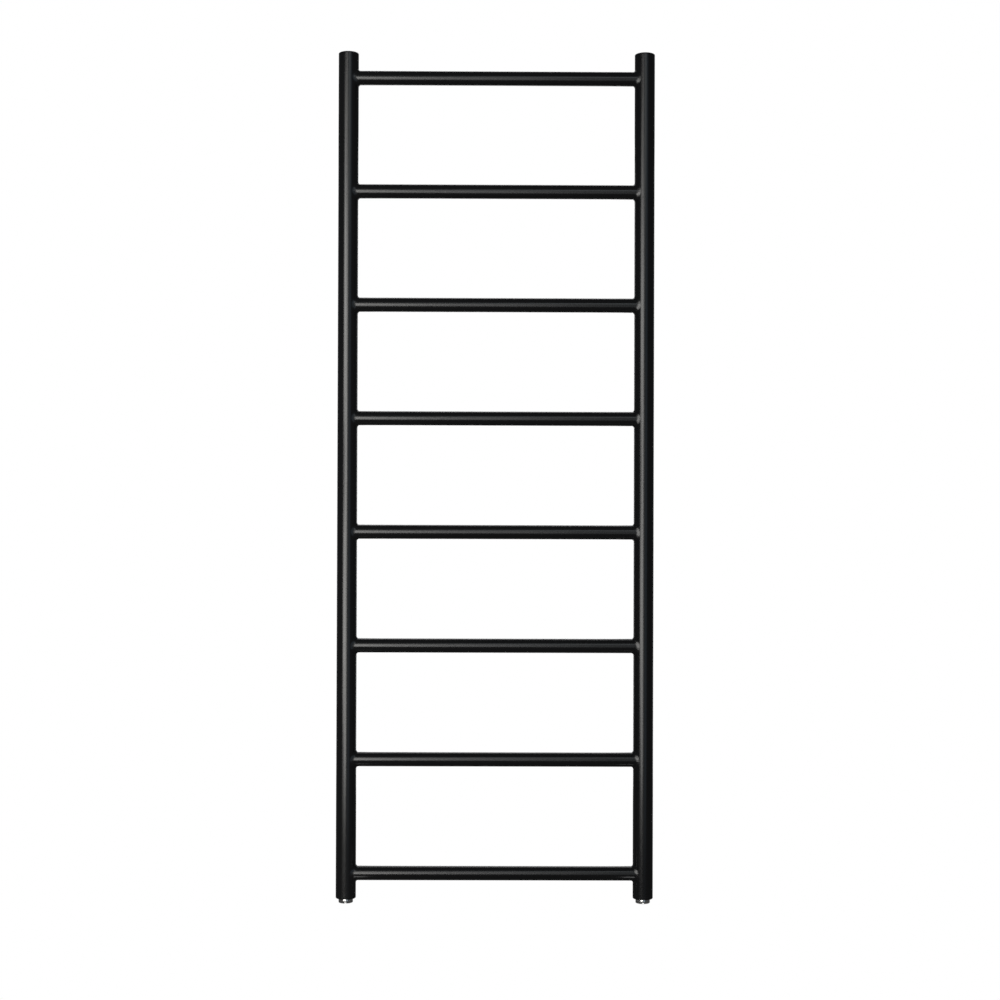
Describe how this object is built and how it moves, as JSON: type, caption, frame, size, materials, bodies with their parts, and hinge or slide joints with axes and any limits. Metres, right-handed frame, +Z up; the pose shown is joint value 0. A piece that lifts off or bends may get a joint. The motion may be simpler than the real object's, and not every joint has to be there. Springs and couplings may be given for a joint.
{
  "type": "ladder towel warmer",
  "caption": "Tall wall-hung ladder towel warmer: round upright posts joined by round horizontal rungs, with pipe sockets in the feet of the posts and concealed wall brackets.",
  "frame": {"origin": "centre of the four wall fixings, in the plane of the wall that the spigots' feet sit on", "axes": "+Z up along the posts, +Y into the wall, -Y towards the room, +X to the right seen from the room"},
  "size_m": [0.6, 0.079, 1.608],
  "materials": {
    "powder_coat": "satin black powder coat with a fine orange peel, over welded steel tube",
    "polished_steel": "turned and polished bare steel, masked from the coating",
    "zinc_plate": "bright zinc plate over turned steel",
    "black_oxide": "black oxide with a trace of oil",
    "nickel_plate": "nickel plate over turned brass",
    "seal_rubber": "matt black EPDM"
  },
  "bodies": {
    "wall_mounts": {"upper_left_wall_spigot": "zinc_plate", "lower_left_wall_spigot": "zinc_plate", "upper_right_wall_spigot": "zinc_plate", "lower_right_wall_spigot": "zinc_plate"},
    "rack": {"rung_1": "powder_coat", "rung_2": "powder_coat", "rung_3": "powder_coat", "rung_4": "powder_coat", "rung_5": "powder_coat", "rung_6": "powder_coat", "rung_7": "powder_coat", "rung_8": "powder_coat", "left_post": "powder_coat", "left_top_cap": "powder_coat", "left_bottom_ring": "powder_coat", "left_port_socket": "polished_steel", "left_vent_boss": "powder_coat", "left_vent_seal": "seal_rubber", "left_vent_body": "nickel_plate", "upper_left_sleeve": "powder_coat", "upper_left_grub_screw": "black_oxide", "lower_left_sleeve": "powder_coat", "lower_left_grub_screw": "black_oxide", "right_post": "powder_coat", "right_top_cap": "powder_coat", "right_bottom_ring": "powder_coat", "right_port_socket": "polished_steel", "right_vent_boss": "powder_coat", "right_vent_seal": "seal_rubber", "right_vent_body": "nickel_plate", "upper_right_sleeve": "powder_coat", "upper_right_grub_screw": "black_oxide", "lower_right_sleeve": "powder_coat", "lower_right_grub_screw": "black_oxide"},
    "left_bleed": {"left_bleed_screw": "nickel_plate"},
    "right_bleed": {"right_bleed_screw": "nickel_plate"}
  },
  "joints": [
    {"name": "wall_distance", "type": "slide", "parent": "wall_mounts", "child": "rack", "axis": [0, -1, 0], "range_m": [0, 0.012]},
    {"name": "left_bleed_turn", "type": "hinge", "parent": "rack", "child": "left_bleed", "pos_m": [-0.281, -0.032, 0.782], "axis": [0, 1, 0], "range_deg": [0, 540]},
    {"name": "right_bleed_turn", "type": "hinge", "parent": "rack", "child": "right_bleed", "pos_m": [0.281, -0.032, 0.782], "axis": [0, 1, 0], "range_deg": [0, 540]}
  ]
}
